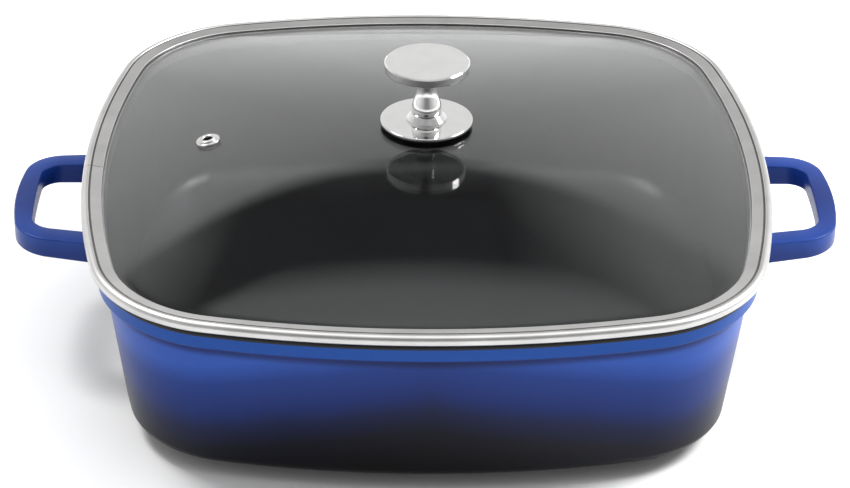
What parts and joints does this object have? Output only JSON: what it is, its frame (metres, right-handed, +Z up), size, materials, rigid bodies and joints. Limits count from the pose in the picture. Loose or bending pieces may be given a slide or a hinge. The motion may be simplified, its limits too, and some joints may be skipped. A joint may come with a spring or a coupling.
{
  "type": "covered casserole dish",
  "caption": "Rounded-square cast casserole with loop handles and a lift-off domed glass lid with a steel rim, vent and metal knob.",
  "frame": {"origin": "on the table plane, under the middle of the pot", "axes": "+X through the two loop handles, +Y away from the side the picture is taken from, +Z up"},
  "size_m": [0.3984, 0.33, 0.1445],
  "materials": {
    "pot_casting": "gradient enamel, deep blue at the band and loops fading to black at the foot, satin black nonstick inside",
    "lid_rim_band": "bright rolled stainless strip with fine marks along it",
    "lid_glass": "clear tempered glass, faint green-grey at the edge",
    "vent_eyelet": "polished stainless",
    "vent_washer": "plain stainless",
    "knob_disc": "polished stainless, fine turning marks",
    "knob_stem": "polished stainless",
    "knob_collar": "polished stainless",
    "knob_base_plate": "polished stainless",
    "knob_top_gasket": "matt black silicone",
    "knob_bottom_gasket": "matt black silicone",
    "knob_flat_washer": "plain stainless",
    "knob_lock_washer": "plain spring steel",
    "knob_screw": "plain stainless, cross recess"
  },
  "bodies": {
    "pot": {"pot_casting": "pot_casting"},
    "lid": {"lid_rim_band": "lid_rim_band", "lid_glass": "lid_glass", "vent_eyelet": "vent_eyelet", "vent_washer": "vent_washer", "knob_disc": "knob_disc", "knob_stem": "knob_stem", "knob_collar": "knob_collar", "knob_base_plate": "knob_base_plate", "knob_top_gasket": "knob_top_gasket", "knob_bottom_gasket": "knob_bottom_gasket", "knob_flat_washer": "knob_flat_washer", "knob_lock_washer": "knob_lock_washer", "knob_screw": "knob_screw"}
  },
  "joints": [
    {"name": "lid_lift", "type": "slide", "parent": "pot", "child": "lid", "axis": [0, 0, 1], "range_m": [0, 0.15]}
  ]
}
